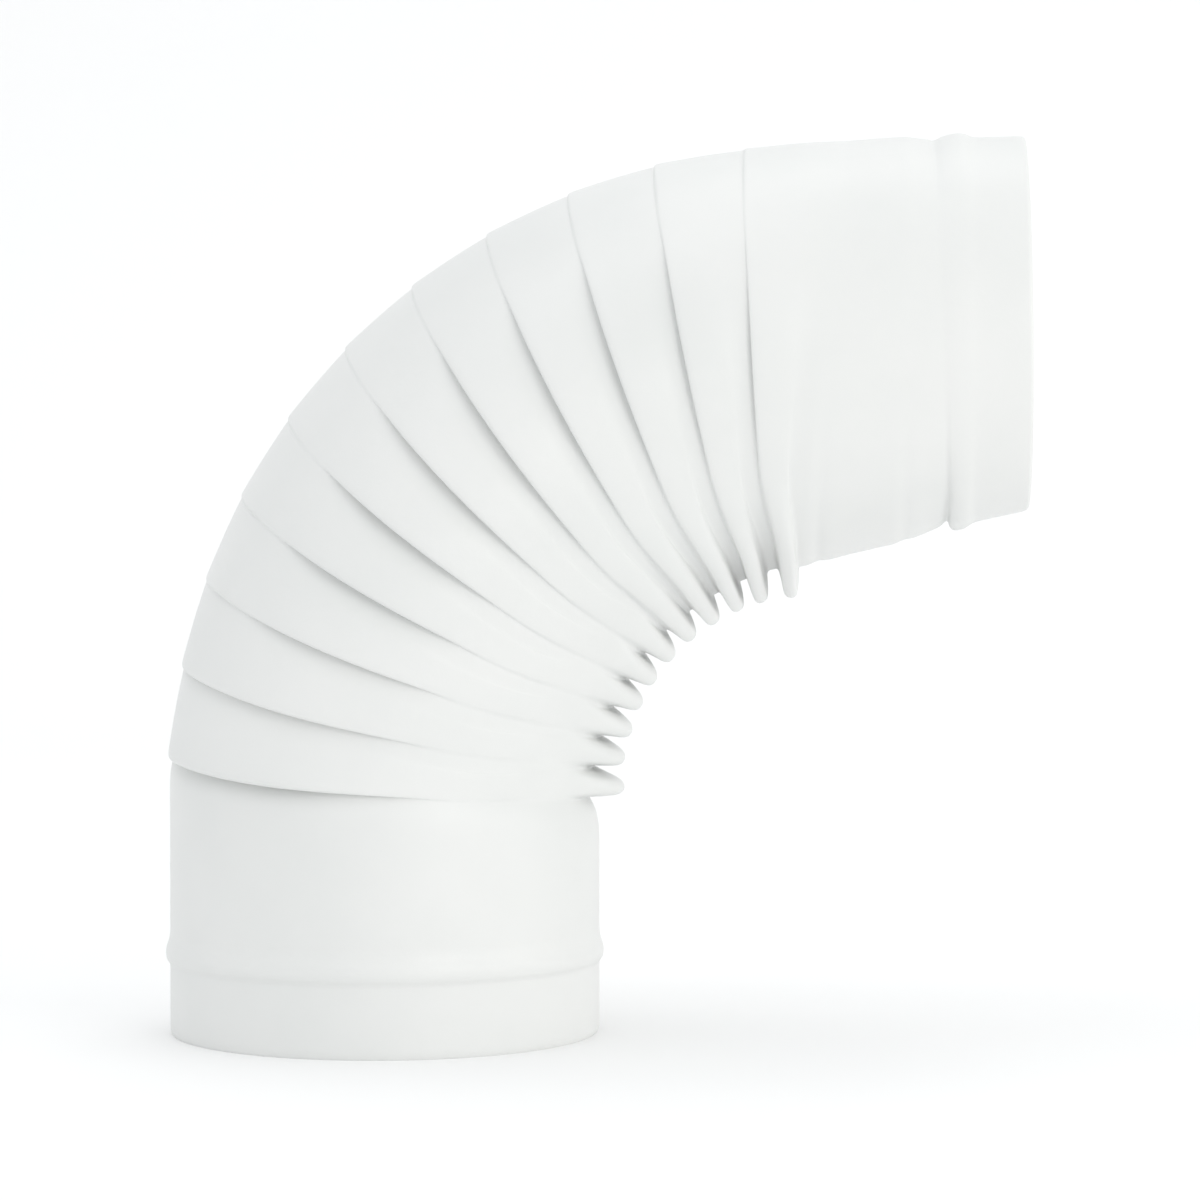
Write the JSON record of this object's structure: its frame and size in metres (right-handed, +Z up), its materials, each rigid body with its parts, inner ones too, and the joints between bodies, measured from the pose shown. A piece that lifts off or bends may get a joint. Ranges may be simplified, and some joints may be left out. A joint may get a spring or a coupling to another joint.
{
  "type": "pleated flue elbow",
  "caption": "Quarter-bend flue elbow in white-lacquered sheet, with pinched pleats, a beaded socket end and a tapered spigot with a stop bead.",
  "frame": {"origin": "centre of the socket's mouth", "axes": "+Z up the socket's axis into the elbow; the bend lies in the XZ plane and the spigot points along +X; Y is across the bend"},
  "size_m": [0.2229, 0.1156, 0.2314],
  "materials": {
    "white_lacquer": "satin",
    "seal_silicone": "matte"
  },
  "bodies": {
    "root": {"socket_end": "white_lacquer", "seal_ring": "seal_silicone", "pleat_01": "white_lacquer", "pleat_02": "white_lacquer", "pleat_03": "white_lacquer", "pleat_04": "white_lacquer", "pleat_05": "white_lacquer", "pleat_06": "white_lacquer", "pleat_07": "white_lacquer", "pleat_08": "white_lacquer", "pleat_09": "white_lacquer", "pleat_10": "white_lacquer", "pleat_11": "white_lacquer", "neck": "white_lacquer", "spigot": "white_lacquer"}
  },
  "joints": []
}
